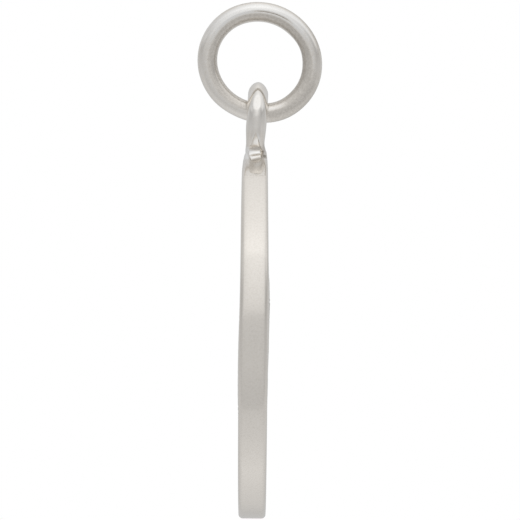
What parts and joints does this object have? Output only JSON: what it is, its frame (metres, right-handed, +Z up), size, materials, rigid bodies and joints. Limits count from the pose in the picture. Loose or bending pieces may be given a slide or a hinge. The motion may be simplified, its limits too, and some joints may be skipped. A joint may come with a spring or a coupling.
{
  "type": "round silver tree charm",
  "caption": "Round silver charm: a pierced tree with roots inside a plain frame, with a top loop and a jump ring that hangs it from a chain or clasp.",
  "frame": {"origin": "the top of the jump ring's hole, where the charm hangs", "axes": "+Z up; the tree's face looks towards -Y, so +X is to the right as the face is seen"},
  "size_m": [0.015, 0.0051, 0.021],
  "materials": {
    "cast_silver": "tumble polished",
    "silver_wire": "polished"
  },
  "bodies": {
    "ring": {"jump_ring": "silver_wire"},
    "charm": {"tree_disc": "cast_silver"}
  },
  "joints": [
    {"name": "swing", "type": "hinge", "parent": "ring", "child": "charm", "pos_m": [0, 0, -0.00371], "axis": [0, 1, 0], "range_deg": [-115, 115]}
  ]
}
